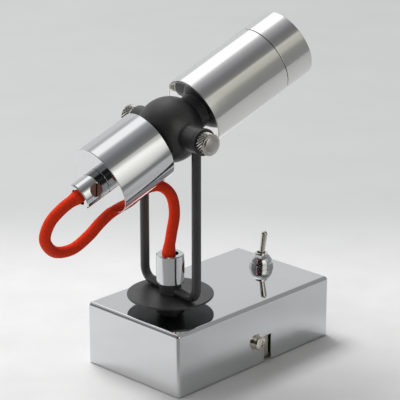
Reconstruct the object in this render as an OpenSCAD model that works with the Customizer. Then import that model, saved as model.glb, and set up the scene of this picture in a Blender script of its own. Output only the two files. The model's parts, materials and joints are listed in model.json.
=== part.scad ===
// Spotlight on a switched base box: a head with a ball joint hangs between two
// bent rods, turns with them on the base, and is fed by a free textile cable.
// Millimetres, +Z up. The origin is the middle of the base's underside, X runs
// along the box. The lamp is drawn in the pose it rests in.

/* [Base box] */
// Length of the base box
base_l = 110; // [104:1:160]
// Width of the base box
base_w = 63.5; // [58:0.5:90]
// Height of the base box
base_h = 32; // [31:1:50]
// Sheet thickness of the base box
sheet_t = 1.2; // [0.8:0.1:1.5]
// Outer radius of the folded edges
fold_r = 1.8; // [1.8:0.1:3]

/* [Mounting bracket] */
// Thickness of the bracket's steel
bracket_t = 1.5; // [1.2:0.1:2.5]
// Distance between the two fixing slots
fixing_spacing = 80; // [72:1:84]
// Width of a fixing slot
fixing_slot_w = 4.5; // [4:0.1:5.5]
// Length of a fixing slot, end to end
fixing_slot_l = 12; // [8:0.5:14]
// Height of the bracket's upright tabs
tab_h = 18; // [16:0.5:22]
// Length of the bracket's upright tabs
tab_l = 18.4; // [16:0.2:24]
// Bore of the rubber cable entry
entry_bore_d = 8; // [5:0.5:9]
// Place of the cable entry along the base
entry_x = -15; // [-17:0.5:-14]

/* [Cover screws] */
// Thread of the two screws that hold the cover
cover_screw_d = 4; // [3:0.5:5]
// Place of the screws along the base
cover_screw_x = 1; // [-4:1:4]
// Height of the screws above the underside
cover_screw_z = 11.5; // [9:0.5:14]
// Head diameter of a cover screw
cover_head_d = 7.2; // [6.5:0.1:8.4]
// Head height of a cover screw
cover_head_h = 2.4; // [2:0.1:3]
// Diameter of the washer under the head
cover_washer_d = 8.6; // [8.5:0.1:11]
// Thickness of the washer under the head
cover_washer_t = 0.8; // [0.5:0.1:1.2]
// Slide from the slot's entry to its locked end
bayonet_slide = 7.5; // [6:0.5:9]

/* [Wiring] */
// Length of the terminal block
terminal_l = 24; // [20:1:26]
// Width of the terminal block
terminal_w = 16; // [14:1:22]
// Height of the terminal block
terminal_h = 12; // [11:0.5:16]
// Thread of the earth screw
earth_screw_d = 4; // [3:0.5:5]

/* [Switch] */
// Distance of the switch from its end of the base
switch_inset = 13; // [12:0.5:22]
// Distance of the switch from the base's middle line, to the far side
switch_side = 3.5; // [0:0.5:6]
// Thread diameter of the switch's bushing
bushing_d = 6.4; // [6:0.1:6.6]
// Diameter of the domed nut's skirt
dome_nut_d = 12.6; // [11:0.2:14]
// Height of the domed nut's skirt
dome_nut_skirt = 1.6; // [1:0.1:5]
// Length of the lever from its pivot to its tip
lever_l = 14.6; // [10:0.2:18]
// Diameter of the lever at its foot
lever_foot_d = 2.6; // [2:0.1:2.8]
// Diameter of the lever at its tip
lever_tip_d = 3.3; // [2.8:0.1:3.8]
// Lean of the lever to either side of upright
lever_lean = 10; // [8:0.5:12]

/* [Swivel] */
// Distance of the swivel from its end of the base
swivel_inset = 26.5; // [24:0.5:27]
// Diameter of the hollow stem
stem_d = 8; // [7:0.5:9]
// Wire bore of the hollow stem
stem_bore_d = 4.8; // [3.5:0.1:5]
// Diameter of the boss under the disc
boss_d = 14.6; // [14:0.2:24]
// Height of the boss under the disc
boss_h = 5; // [3:0.5:8]
// Diameter of the disc
disc_d = 43; // [38:0.5:54]
// Thickness of the disc
disc_t = 1.2; // [0.8:0.1:2]
// Diameter of the hub that carries the rods
hub_d = 11; // [11:0.5:13]
// Height of the hub that carries the rods
hub_h = 5.6; // [5.4:0.2:10]

/* [Yoke] */
// Diameter of the bent rods
rod_d = 4.6; // [4:0.1:5]
// Centre-line radius of the rods' bends
rod_bend_r = 6; // [5:0.5:9]
// Height of the tilt axis above the box
tilt_rise = 90; // [88:1:120]
// Room between a tube and a rod as the head swings through
swing_gap = 0.7; // [0.5:0.1:3]
// Diameter of the eyes on the rods
eye_d = 12.8; // [11:0.2:13]
// Width of the eyes on the rods
eye_w = 8.8; // [7:0.2:9]

/* [Head] */
// Diameter of the ball
ball_d = 32.2; // [31:0.2:33]
// Diameter of the ball's trunnion stubs
stub_d = 12.4; // [10:0.2:13]
// Diameter of the necks between the ball and the two tubes
neck_d = 18; // [14:0.5:20]
// Wire bore through the ball and the necks
wire_bore_d = 8; // [5:0.5:8.4]
// Diameter of the front tube
tube_d = 36; // [35.6:0.1:40]
// Wall of the front tube
tube_wall = 1.3; // [1:0.1:1.6]
// Length of the front tube without its spigot
tube_l = 46.8; // [44:0.2:60]
// Depth of the polished flange below the tube's rear rim
flange_recess = 0.1; // [0:0.1:6]
// Thickness of the flanges
flange_t = 5; // [3:0.2:6]
// Length of the screwed front bezel
bezel_l = 16.7; // [15:0.1:22]
// Wall of the bezel
bezel_wall = 1.2; // [1:0.1:1.5]
// Clear opening of the bezel
bezel_opening_d = 29; // [24:0.5:30]
// Thickness of the front glass
glass_t = 2.6; // [2:0.1:3.5]
// Diameter of the rear cup
cup_d = 35.6; // [34:0.1:36]
// Wall of the rear cup
cup_wall = 1.5; // [1:0.1:2]
// Length of the rear cup
cup_l = 31.3; // [29:0.1:40]
// Thickness of the rear cup's end
cup_end_t = 2.5; // [2:0.1:3.5]

/* [Thumbscrews] */
// Thread of the thumbscrews, which are the tilt axis
thumb_thread_d = 4; // [3.5:0.5:5]
// Diameter of the thumbscrew heads
thumb_head_d = 10.6; // [9:0.2:12]
// Length of the knurled barrel
thumb_barrel_l = 5; // [2:0.1:6]
// Diameter of the domed end button
thumb_button_d = 8.2; // [6.8:0.2:8.4]
// Thickness of the domed end button
thumb_button_t = 0.8; // [0.5:0.1:1.5]
// Diameter of the near screw's black spacer
spacer_d = 13.2; // [12:0.2:14]
// Diameter of the far screw's bright spacer
far_spacer_d = 10.6; // [9:0.2:14]
// Thickness of the spacers under the heads
spacer_t = 1.8; // [1.5:0.1:4]

/* [Cable] */
// Diameter of the textile cable
cable_d = 5.5; // [4.5:0.1:6]
// Diameter of the two cable glands
gland_d = 13.8; // [13:0.1:16]
// Height of the rear cable gland
rear_gland_h = 13.6; // [13.4:0.1:16]
// Height of the base's cable gland
base_gland_h = 15; // [13.4:0.1:17]
// Bore of a gland's mouth
gland_bore_d = 8.4; // [8:0.1:9]
// Depth of a gland's mouth
gland_bore_depth = 9.4; // [9.2:0.1:9.6]
// Diameter of the clamping screw in a gland
clamp_screw_d = 6.4; // [5:0.1:6.6]

/* [Resting pose] */
// Turn of the yoke at rest, to the right
rest_pan = 8; // [-30:1:30]
// Lift of the head's nose at rest
rest_tilt = 23.5; // [20:0.5:27]

/* [Hidden] */
$fn = 96;

// Clearances: running parts, parts seated in each other, faces that pass
running_gap = 0.08;
fit_gap = 0.05;
thrust_gap = 0.1;
pass_gap = 0.3;
seam_gap = 0.3;
overcut = 1;

chrome = [0.80, 0.81, 0.83];
turned_aluminium = [0.70, 0.70, 0.69];
black_coat = [0.12, 0.12, 0.12];
nickel = [0.66, 0.65, 0.61];
zinc = [0.58, 0.57, 0.48];
dark_plastic = [0.15, 0.15, 0.16];
cream_plastic = [0.85, 0.82, 0.74];
brown_plastic = [0.25, 0.11, 0.08];
brass = [0.72, 0.58, 0.30];
rubber = [0.07, 0.07, 0.07];
red_textile = [0.75, 0.11, 0.07];

// Inside of the base box
ceiling_z = base_h - sheet_t;
bracket_w = base_w - 2 * sheet_t - 2 * thrust_gap;
bracket_end_gap = 4;
bracket_l = base_l - 2 * sheet_t - 2 * bracket_end_gap;
bracket_side_gap = 2.5;
bracket_bend_r = 2.5;
grommet_wall = 1.5;
grommet_lip = 1.6;
grommet_h = 1.6;

// Bayonet slots in the cover
lock_slot_play = 0.4;
lock_slot_w = cover_screw_d + lock_slot_play;
entry_slot_play = 1.2;
entry_slot_w = cover_screw_d + entry_slot_play;
cover_screw_reach = 6;

// Screw heads: crossed recess, and the dome's radius and the recess as shares of the head
recess_w = 0.9;
recess_depth = 1.2;
recess_share = 0.6;
dome_share = 0.8;

// Wiring inside the base
terminal_x = 6;
terminal_poles = 3;
terminal_pitch = terminal_l / terminal_poles;
terminal_row = terminal_w / 4;
well_d = 4.4;
well_depth = 5;
terminal_screw_d = 3.8;
terminal_screw_h = 3.4;
wire_hole_d = 3.2;
wire_hole_z = 3.4;
earth_x = terminal_x;
earth_y = (terminal_w / 2 + bracket_w / 2 - bracket_t) / 2;
earth_head_h = 2.2;
earth_tag_t = 0.8;
earth_tag_l = 14;

// Switch, counted up from its case
switch_x = base_l / 2 - switch_inset;
lock_washer_t = 0.6;
lock_washer_rim = 2;
switch_nut_t = 1.5;
switch_nut_rim = 1;
switch_nut_af = bushing_d + 2 * switch_nut_rim;
switch_case_l = 13.2;
switch_case_w = 8;
switch_case_h = 9.6;
switch_case_top = ceiling_z - lock_washer_t - switch_nut_t - thrust_gap;
lug_w = 2;
lug_t = 0.8;
lug_l = 4;
lug_spacing = 4.7;
dome_nut_r = dome_nut_d / 2;
dome_step = 0.25;
dome_r = dome_nut_r - dome_step;
bushing_r = bushing_d / 2;
dome_bore_r = bushing_r + fit_gap;
dome_top_z = base_h + dome_nut_skirt + sqrt(dome_r * dome_r - dome_bore_r * dome_bore_r);
bushing_proud = 0.9;
bushing_top_z = dome_top_z + bushing_proud;
lever_pivot_drop = 3.3;
lever_pivot_z = bushing_top_z - lever_pivot_drop;
lever_ball_r = 1.7;
lever_tail_r = 0.7;
lever_tail_l = 5;
pivot_pin_r = 0.5;
pivot_pin_inset = 0.2;
pivot_pin_l = 2 * (bushing_r - pivot_pin_inset);
bushing_bore_r = lever_ball_r + pass_gap;
bushing_flare_r = lever_pivot_drop * tan(lever_lean) + lever_foot_d / 2 + pass_gap;

// Swivel, counted up from the box
swivel_x = swivel_inset - base_l / 2;
stem_r = stem_d / 2;
boss_ring_share = 0.7;
boss_ring_h = boss_ring_share * boss_h;
disc_z = base_h + boss_h;
disc_bevel = 0.4;
hub_z = disc_z + disc_t;
base_gland_z = hub_z + hub_h;
gland_floor_t = 1.4;
base_gland_socket = base_gland_h - gland_bore_depth - gland_floor_t;
rear_gland_socket = rear_gland_h - gland_bore_depth - gland_floor_t;
spring_washer_d = 15;
spring_washer_t = 1;
stem_nut_rim = 2.5;
stem_nut_af = stem_d + 2 * stem_nut_rim;
stem_nut_t = 4;
stem_tail = 1.3;
stem_bottom_z = ceiling_z - spring_washer_t - stem_nut_t - stem_tail;

// Yoke: its rods clear the tube, and its eyes clear the stubs that stand proud of the ball
rod_r = rod_d / 2;
tube_r = tube_d / 2;
ball_r = ball_d / 2;
stub_rise = 0.1;
half_span = max(tube_r + swing_gap + rod_r, ball_r + stub_rise + pass_gap + eye_w / 2);
tilt_z = base_h + tilt_rise;
rod_z = hub_z + rod_r + fit_gap;
rod_socket = 1.2;
rod_root = hub_d / 2 - rod_socket;
eye_r = eye_d / 2;
rod_top_z = tilt_z - eye_r + rod_socket;

// Ball and trunnions
neck_r = neck_d / 2;
flat_margin = 0.15;
flat_x = sqrt(ball_r * ball_r - neck_r * neck_r) - flat_margin;
stub_end = half_span - eye_w / 2 - pass_gap;
thumb_r = thumb_thread_d / 2;
thumb_bore_end = 8;
thumb_tip = 9.5;
spacer_start = half_span + eye_w / 2 + thrust_gap;
thumb_head_start = spacer_start + spacer_t + thrust_gap;
thumb_edge = 0.3;
thumb_dome = 0.4;

// Front tube, counted forwards from the ball's centre
bare_neck_l = 2.4;
tube_start = flat_x + bare_neck_l;
tube_end = tube_start + tube_l;
tube_bore_r = tube_r - tube_wall;
flange_start = tube_start + flange_recess;
flange_end = flange_start + flange_t;
bezel_bore_r = tube_r - bezel_wall;
spigot_r = bezel_bore_r - running_gap;
spigot_wall = 1;
spigot_bore_r = spigot_r - spigot_wall;
spigot_l = 8.6;
spigot_root = 6;
edge_bevel = 0.4;
bezel_start = tube_end + seam_gap;
bezel_end = bezel_start + bezel_l;
bezel_lip = 1.4;
glass_end = bezel_end - bezel_lip - thrust_gap;
glass_r = bezel_bore_r - pass_gap;
glass_seal_t = 2;
glass_seal_w = 2.2;
glass_seal_start = glass_end - glass_t - glass_seal_t;
reflector_inset = 0.4;
reflector_end = tube_end + spigot_l - reflector_inset;
reflector_l = 24;
reflector_start = reflector_end - reflector_l;
reflector_throat_r = 5.5;
reflector_wall = 0.8;
reflector_mouth_r = spigot_bore_r - fit_gap - reflector_wall;
board_t = 1.6;
board_r = 12;
emitter_t = 0.8;
emitter_r = 4.6;
board_end = reflector_start - thrust_gap;
board_start = board_end - board_t;
sink_core_r = 9;
sink_fin_gap = 1;
sink_fin_r = tube_bore_r - sink_fin_gap;
sink_fins = 5;
sink_fin_t = 1.6;
sink_l = board_start - flange_end;

// Rear cup, counted backwards from the ball's centre
cup_r = cup_d / 2;
cup_start = flat_x + thrust_gap;
cup_end = cup_start + cup_l;
cup_bore_r = cup_r - cup_wall;
cup_flange_recess = 3.5;
cup_flange_t = 4.2;
cup_flange_start = cup_start + cup_flange_recess;
cup_flange_end = cup_flange_start + cup_flange_t;
driver_l = 15;
nipple_in = 7;
nipple_nut_t = 3;
gland_z_edge = 0.5;
clamp_drop = 7;
clamp_slot_w = 0.9;
clamp_slot_depth = 1.2;
clamp_proud = 0.1;
clamp_tip_r = cable_d / 2 + thrust_gap;
rear_clamp_turn = 77.5;
base_clamp_turn = -38;
rear_slot_turn = 56;
base_slot_turn = 0;

// Cable route in the yoke's own frame: forwards, to the far side, height over the tilt axis
cable_sides = 10;
cable_route = [
    [-44.9, 0, -19.5], [-53.6, 0, -23], [-62.5, -0.5, -26.5], [-69.2, 0.5, -32.7],
    [-70.8, 2.5, -41.5], [-64.7, 4, -48.9], [-54.9, 4, -49.8], [-45.6, 4, -45.4],
    [-37.6, 5, -40.4], [-28.9, 7, -37.2], [-20.2, 5.5, -33.5], [-12, 4.5, -28.8],
    [-3, 4, -28.9], [3, 3, -34.6], [3.5, 1, -43.3], [0.5, -0.5, -52.8],
    [-0.4, 0, -62.5], [0, 0, -72.5]
];

// Frames of the moving groups
near = -1;
far = 1;

module in_yoke() {
    translate([swivel_x, 0, 0])
        rotate([0, 0, -rest_pan])
            children();
}

module at_tilt_axis() {
    in_yoke()
        translate([0, 0, tilt_z])
            children();
}

module in_head() {
    at_tilt_axis()
        rotate([0, -rest_tilt, 0])
            children();
}

module at_switch(z) {
    translate([switch_x, switch_side, z])
        children();
}

// Points the Z axis outwards along one side of the tilt axis
module outwards(side) {
    rotate([-90 * side, 0, 0])
        children();
}

// Solid of revolution about X; each point is radius, distance along X
module turned_along_x(outline) {
    rotate([0, 90, 0])
        rotate_extrude()
            polygon(outline);
}

module ring(outer_r, inner_r, h) {
    difference() {
        cylinder(r = outer_r, h = h);
        translate([0, 0, -overcut])
            cylinder(r = inner_r, h = h + 2 * overcut);
    }
}

module hexagon(flats, h) {
    cylinder(d = flats / cos(30), h = h, $fn = 6);
}

module hex_nut(flats, bore_r, h) {
    difference() {
        hexagon(flats, h);
        translate([0, 0, -overcut])
            cylinder(r = bore_r, h = h + 2 * overcut);
    }
}

// Base box
module round_plan(l, w, r) {
    square([l - 2 * r, w], center = true);
    square([l, w - 2 * r], center = true);
    for (x = [-1, 1], y = [-1, 1])
        translate([x * (l / 2 - r), y * (w / 2 - r)])
            circle(r);
}

module arch(l, h, r) {
    translate([-l / 2, 0])
        square([l, h - r]);
    translate([-l / 2 + r, 0])
        square([l - 2 * r, h]);
    for (x = [-1, 1])
        translate([x * (l / 2 - r), h - r])
            circle(r);
}

module folded_block(l, w, h, r) {
    linear_extrude(h - r)
        round_plan(l, w, r);
    translate([0, 0, h / 2])
        cube([l - 2 * r, w - 2 * r, h], center = true);
    translate([0, 0, h - r]) {
        for (y = [-1, 1])
            translate([0, y * (w / 2 - r), 0])
                rotate([0, 90, 0])
                    cylinder(r = r, h = l - 2 * r, center = true);
        for (x = [-1, 1])
            translate([x * (l / 2 - r), 0, 0])
                rotate([90, 0, 0])
                    cylinder(r = r, h = w - 2 * r, center = true);
        for (x = [-1, 1], y = [-1, 1])
            translate([x * (l / 2 - r), y * (w / 2 - r), 0])
                sphere(r);
    }
}

module bayonet_slot(side) {
    translate([cover_screw_x, side * base_w / 2, 0])
        rotate([90, 0, 0])
            linear_extrude(4 * sheet_t, center = true) {
                translate([0, cover_screw_z])
                    circle(d = lock_slot_w);
                translate([0, cover_screw_z - lock_slot_w / 2])
                    square([bayonet_slide, lock_slot_w]);
                translate([bayonet_slide - entry_slot_w / 2, -overcut])
                    square([entry_slot_w, cover_screw_z + lock_slot_w / 2 + overcut]);
            }
}

module base_cover() {
    color(chrome)
        difference() {
            folded_block(base_l, base_w, base_h, fold_r);
            translate([0, 0, -sheet_t])
                folded_block(base_l - 2 * sheet_t, base_w - 2 * sheet_t, base_h, fold_r - sheet_t);
            translate([swivel_x, 0, ceiling_z - overcut])
                cylinder(r = stem_r + running_gap, h = sheet_t + 2 * overcut);
            at_switch(ceiling_z - overcut)
                cylinder(r = bushing_r + fit_gap, h = sheet_t + 2 * overcut);
            for (side = [near, far])
                bayonet_slot(side);
        }
}

module bracket_tabs() {
    translate([cover_screw_x, 0, 0])
        rotate([90, 0, 90])
            linear_extrude(tab_l, center = true)
                difference() {
                    translate([0, tab_h])
                        mirror([0, 1])
                            arch(bracket_w, tab_h, bracket_bend_r);
                    translate([0, tab_h + overcut])
                        mirror([0, 1])
                            arch(bracket_w - 2 * bracket_t, tab_h - bracket_t + overcut,
                                bracket_bend_r - bracket_t + fit_gap);
                }
}

module fixing_slot() {
    run = fixing_slot_l - fixing_slot_w;
    translate([0, 0, bracket_t / 2]) {
        cube([run, fixing_slot_w, bracket_t + 2 * overcut], center = true);
        for (x = [-1, 1])
            translate([x * run / 2, 0, 0])
                cylinder(d = fixing_slot_w, h = bracket_t + 2 * overcut, center = true);
    }
}

module mounting_bracket() {
    color(zinc)
        difference() {
            union() {
                linear_extrude(bracket_t)
                    round_plan(bracket_l, bracket_w - 2 * bracket_side_gap, bracket_bend_r);
                bracket_tabs();
            }
            for (x = [-1, 1])
                translate([x * fixing_spacing / 2, 0, 0])
                    fixing_slot();
            translate([entry_x, 0, -overcut])
                cylinder(d = entry_bore_d + 2 * grommet_wall, h = bracket_t + 2 * overcut);
            translate([earth_x, earth_y, -overcut])
                cylinder(d = earth_screw_d + 2 * fit_gap, h = bracket_t + 2 * overcut);
            translate([cover_screw_x, 0, cover_screw_z])
                rotate([90, 0, 0])
                    cylinder(d = cover_screw_d + 2 * fit_gap, h = base_w, center = true);
        }
}

module entry_grommet() {
    bore_r = entry_bore_d / 2;
    sleeve_r = bore_r + grommet_wall - fit_gap;
    lip_r = bore_r + grommet_wall + grommet_lip;
    color(rubber)
        translate([entry_x, 0, 0])
            rotate_extrude()
                polygon([
                    [bore_r, 0], [sleeve_r, 0], [sleeve_r, bracket_t],
                    [lip_r, bracket_t], [lip_r, bracket_t + grommet_h], [bore_r, bracket_t + grommet_h]
                ]);
}

// Domed screw head with a crossed recess, seated at Z 0
module domed_head(d, h) {
    difference() {
        intersection() {
            cylinder(d = d, h = h);
            translate([0, 0, h - dome_share * d])
                sphere(r = dome_share * d);
        }
        for (a = [0, 90])
            rotate([0, 0, a])
                translate([0, 0, h])
                    cube([recess_share * d, recess_w, 2 * recess_depth], center = true);
    }
}

module cover_screws() {
    seat = base_w / 2 + cover_washer_t;
    color(nickel)
        for (side = [near, far])
            translate([cover_screw_x, side * seat, cover_screw_z])
                outwards(side) {
                    domed_head(cover_head_d, cover_head_h);
                    translate([0, 0, -cover_screw_reach])
                        cylinder(d = cover_screw_d, h = cover_screw_reach);
                }
}

module cover_washers() {
    color(nickel)
        for (side = [near, far])
            translate([cover_screw_x, side * base_w / 2, cover_screw_z])
                outwards(side)
                    ring(cover_washer_d / 2, cover_screw_d / 2 + fit_gap, cover_washer_t);
}

// Wiring
module at_terminal_wells() {
    for (pole = [0 : terminal_poles - 1], row = [-1, 1])
        translate([
            terminal_x + (pole - (terminal_poles - 1) / 2) * terminal_pitch,
            row * terminal_row,
            bracket_t + terminal_h - well_depth
        ])
            children();
}

module terminal_block() {
    color(cream_plastic)
        difference() {
            translate([terminal_x - terminal_l / 2, -terminal_w / 2, bracket_t])
                cube([terminal_l, terminal_w, terminal_h]);
            at_terminal_wells()
                cylinder(d = well_d, h = well_depth + overcut);
            for (pole = [0 : terminal_poles - 1])
                translate([
                    terminal_x + (pole - (terminal_poles - 1) / 2) * terminal_pitch,
                    0,
                    bracket_t + wire_hole_z
                ])
                    rotate([90, 0, 0])
                        cylinder(d = wire_hole_d, h = terminal_w + 2 * overcut, center = true);
        }
}

module terminal_screws() {
    color(brass)
        at_terminal_wells()
            difference() {
                cylinder(d = terminal_screw_d, h = terminal_screw_h);
                translate([0, 0, terminal_screw_h])
                    cube([terminal_screw_d + overcut, recess_w, recess_depth], center = true);
            }
}

module earth_screw() {
    color(brass)
        translate([earth_x, earth_y, 0]) {
            translate([0, 0, bracket_t + earth_tag_t])
                domed_head(2 * earth_screw_d, earth_head_h);
            cylinder(d = earth_screw_d, h = bracket_t + earth_tag_t);
        }
}

module earth_tag() {
    color(nickel)
        translate([earth_x, earth_y, bracket_t])
            difference() {
                union() {
                    cylinder(r = earth_screw_d, h = earth_tag_t);
                    translate([-earth_tag_l, -earth_screw_d / 2, 0])
                        cube([earth_tag_l, earth_screw_d, earth_tag_t]);
                }
                translate([0, 0, -overcut])
                    cylinder(d = earth_screw_d + 2 * fit_gap, h = earth_tag_t + 2 * overcut);
            }
}

// Switch
module switch_case() {
    color(dark_plastic)
        at_switch(switch_case_top - switch_case_h)
            translate([-switch_case_l / 2, -switch_case_w / 2, 0])
                cube([switch_case_l, switch_case_w, switch_case_h]);
}

module switch_lugs() {
    color(nickel)
        at_switch(switch_case_top - switch_case_h - lug_l)
            for (x = [-1, 0, 1])
                translate([x * lug_spacing - lug_t / 2, -lug_w / 2, 0])
                    cube([lug_t, lug_w, lug_l]);
}

// The lever's cross pin, or the hole that it turns in
module pivot_pin(r, l) {
    rotate([90, 0, 0])
        cylinder(r = r, h = l, center = true);
}

module switch_bushing() {
    color(nickel)
        at_switch(0)
            difference() {
                rotate_extrude()
                    polygon([
                        [bushing_bore_r, switch_case_top], [bushing_r, switch_case_top],
                        [bushing_r, bushing_top_z], [bushing_flare_r, bushing_top_z],
                        [bushing_bore_r, lever_pivot_z + lever_ball_r]
                    ]);
                translate([0, 0, lever_pivot_z])
                    pivot_pin(pivot_pin_r + running_gap, 2 * bushing_d);
            }
}

module switch_lock_washer() {
    color(nickel)
        at_switch(ceiling_z - lock_washer_t)
            ring(bushing_r + lock_washer_rim, bushing_r + fit_gap, lock_washer_t);
}

module switch_nut() {
    color(nickel)
        at_switch(ceiling_z - lock_washer_t - switch_nut_t)
            hex_nut(switch_nut_af, bushing_r + fit_gap, switch_nut_t);
}

module switch_dome_nut() {
    color(chrome)
        at_switch(base_h)
            difference() {
                union() {
                    cylinder(r = dome_nut_r, h = dome_nut_skirt);
                    translate([0, 0, dome_nut_skirt])
                        intersection() {
                            sphere(r = dome_r);
                            cylinder(r = dome_nut_d, h = dome_nut_d);
                        }
                }
                translate([0, 0, -overcut])
                    cylinder(r = dome_bore_r, h = dome_nut_d + dome_nut_skirt);
            }
}

module switch_lever() {
    tip_r = lever_tip_d / 2;
    color(nickel)
        at_switch(lever_pivot_z)
            rotate([0, lever_lean, 0]) {
                sphere(r = lever_ball_r);
                pivot_pin(pivot_pin_r, pivot_pin_l);
                cylinder(d1 = lever_foot_d, d2 = lever_tip_d, h = lever_l - tip_r);
                translate([0, 0, lever_l - tip_r])
                    sphere(r = tip_r);
                translate([0, 0, -lever_tail_l])
                    cylinder(r = lever_tail_r, h = lever_tail_l);
            }
}

// Swivel
module swivel_boss() {
    boss_r = boss_d / 2;
    neck = hub_d / 2;
    bore_r = stem_r + running_gap;
    color(black_coat)
        translate([swivel_x, 0, base_h])
            rotate_extrude()
                polygon([
                    [bore_r, 0], [boss_r, 0], [boss_r, boss_ring_h],
                    [neck, boss_ring_h], [neck, boss_h], [bore_r, boss_h]
                ]);
}

module swivel_stem() {
    color(nickel)
        translate([swivel_x, 0, stem_bottom_z])
            ring(stem_r, stem_bore_d / 2, base_gland_z + base_gland_socket - stem_bottom_z);
}

module swivel_disc() {
    disc_r = disc_d / 2;
    bore_r = stem_r + fit_gap;
    color(black_coat)
        translate([swivel_x, 0, disc_z])
            rotate_extrude()
                polygon([
                    [bore_r, 0], [disc_r - disc_bevel, 0], [disc_r, disc_bevel],
                    [disc_r, disc_t], [bore_r, disc_t]
                ]);
}

module stem_washer() {
    color(nickel)
        translate([swivel_x, 0, ceiling_z - spring_washer_t])
            ring(spring_washer_d / 2, stem_r + fit_gap, spring_washer_t);
}

module stem_nut() {
    color(nickel)
        translate([swivel_x, 0, ceiling_z - spring_washer_t - stem_nut_t])
            hex_nut(stem_nut_af, stem_r + fit_gap, stem_nut_t);
}

// Yoke
module yoke_hub() {
    color(black_coat)
        in_yoke()
            difference() {
                translate([0, 0, hub_z])
                    ring(hub_d / 2, stem_r + fit_gap, hub_h);
                for (side = [near, far])
                    translate([0, side * rod_root, rod_z])
                        outwards(side)
                            cylinder(r = rod_r + fit_gap / 2, h = hub_d);
            }
}

module yoke_rod(side) {
    bend_y = half_span - rod_bend_r;
    color(black_coat)
        in_yoke()
            rotate([0, 0, 90 - 90 * side]) {
                translate([0, rod_root, rod_z])
                    outwards(far)
                        cylinder(r = rod_r, h = bend_y - rod_root);
                translate([0, bend_y, rod_z + rod_bend_r])
                    rotate([90, 0, 90])
                        rotate([0, 0, -90])
                            rotate_extrude(angle = 90)
                                translate([rod_bend_r, 0])
                                    circle(rod_r);
                translate([0, half_span, rod_z + rod_bend_r])
                    cylinder(r = rod_r, h = rod_top_z - rod_z - rod_bend_r);
            }
}

module yoke_rod_near() {
    yoke_rod(near);
}

module yoke_rod_far() {
    yoke_rod(far);
}

module yoke_eye(side) {
    color(black_coat)
        at_tilt_axis()
            difference() {
                outwards(side)
                    translate([0, 0, half_span - eye_w / 2])
                        ring(eye_r, thumb_r + running_gap, eye_w);
                translate([0, side * half_span, -eye_r - overcut])
                    cylinder(r = rod_r + fit_gap / 2, h = rod_socket + overcut);
            }
}

module yoke_eye_near() {
    yoke_eye(near);
}

module yoke_eye_far() {
    yoke_eye(far);
}

// Cable glands: foot at Z 0, mouth upwards, clamping screw towards X
module gland(h, socket) {
    gland_r = gland_d / 2;
    bore_r = gland_bore_d / 2;
    wire_r = stem_bore_d / 2;
    seat_z = h - gland_bore_depth;
    color(chrome)
        difference() {
            rotate_extrude()
                polygon([
                    [stem_r + fit_gap, 0], [gland_r - gland_z_edge, 0], [gland_r, gland_z_edge],
                    [gland_r, h - gland_z_edge], [gland_r - gland_z_edge, h],
                    [bore_r, h], [bore_r, seat_z], [wire_r, seat_z],
                    [wire_r, socket], [stem_r + fit_gap, socket]
                ]);
            translate([clamp_tip_r, 0, h - clamp_drop])
                rotate([0, 90, 0])
                    cylinder(d = clamp_screw_d + 2 * fit_gap, h = gland_d);
        }
}

module clamp_screw(z, slot_turn) {
    end_r = gland_d / 2 + clamp_proud;
    color(brown_plastic)
        translate([0, 0, z])
            difference() {
                translate([clamp_tip_r, 0, 0])
                    rotate([0, 90, 0])
                        cylinder(d = clamp_screw_d, h = end_r - clamp_tip_r);
                translate([end_r, 0, 0])
                    rotate([slot_turn, 0, 0])
                        cube([2 * clamp_slot_depth, clamp_slot_w, clamp_screw_d + overcut], center = true);
            }
}

module at_base_gland() {
    in_yoke()
        translate([0, 0, base_gland_z])
            rotate([0, 0, base_clamp_turn])
                children();
}

// Turns the gland's mouth backwards and its screw towards the near side
module at_rear_gland() {
    in_head()
        translate([-cup_end, 0, 0])
            rotate([0, -90, 0])
                rotate([0, 0, -rear_clamp_turn])
                    children();
}

module base_gland() {
    at_base_gland()
        gland(base_gland_h, base_gland_socket);
}

module base_clamp_screw() {
    at_base_gland()
        clamp_screw(base_gland_h - clamp_drop, base_slot_turn);
}

module rear_gland() {
    at_rear_gland()
        gland(rear_gland_h, rear_gland_socket);
}

module rear_clamp_screw() {
    at_rear_gland()
        clamp_screw(rear_gland_h - clamp_drop, rear_slot_turn);
}

// Cable: a ring of points at each route point and halfway to the next
function between(a, b, c, d) = (9 * (b + c) - a - d) / 16;
function route_at(i) = cable_route[min(max(i, 0), len(cable_route) - 1)];
function midway(i) = between(route_at(i - 1), route_at(i), route_at(i + 1), route_at(i + 2));
cable_line = [
    for (i = [0 : 2 * len(cable_route) - 2])
        i % 2 == 0 ? cable_route[i / 2] : midway((i - 1) / 2)
];
function unit(v) = v / norm(v);
cable_first = unit(cable_route[1] - cable_route[0]);
cable_last = unit(cable_route[len(cable_route) - 1] - cable_route[len(cable_route) - 2]);
function heading(i) = i == 0 ? cable_first
    : i == len(cable_line) - 1 ? cable_last
    : unit(cable_line[i + 1] - cable_line[i - 1]);
// The far side never lies along the cable, so it sets each ring's first spoke
function spoke(t) = unit(cross(t, cross([0, 1, 0], t)));
function ring_point(i, k) = let (t = heading(i), u = spoke(t), v = cross(t, u), a = 360 * k / cable_sides)
    cable_line[i] + cable_d / 2 * (cos(a) * u + sin(a) * v);

module red_cable() {
    rings = len(cable_line);
    n = cable_sides;
    points = [for (i = [0 : rings - 1], k = [0 : n - 1]) ring_point(i, k)];
    sides = [
        for (i = [0 : rings - 2], k = [0 : n - 1], half = [0, 1])
            let (a = i * n + k, b = i * n + (k + 1) % n)
                half == 0 ? [a, a + n, b] : [b, a + n, b + n]
    ];
    first_end = [for (k = [0 : n - 1]) k];
    last_end = [for (k = [n - 1 : -1 : 0]) (rings - 1) * n + k];
    color(red_textile)
        at_tilt_axis()
            polyhedron(points, concat(sides, [first_end, last_end]));
}

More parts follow.
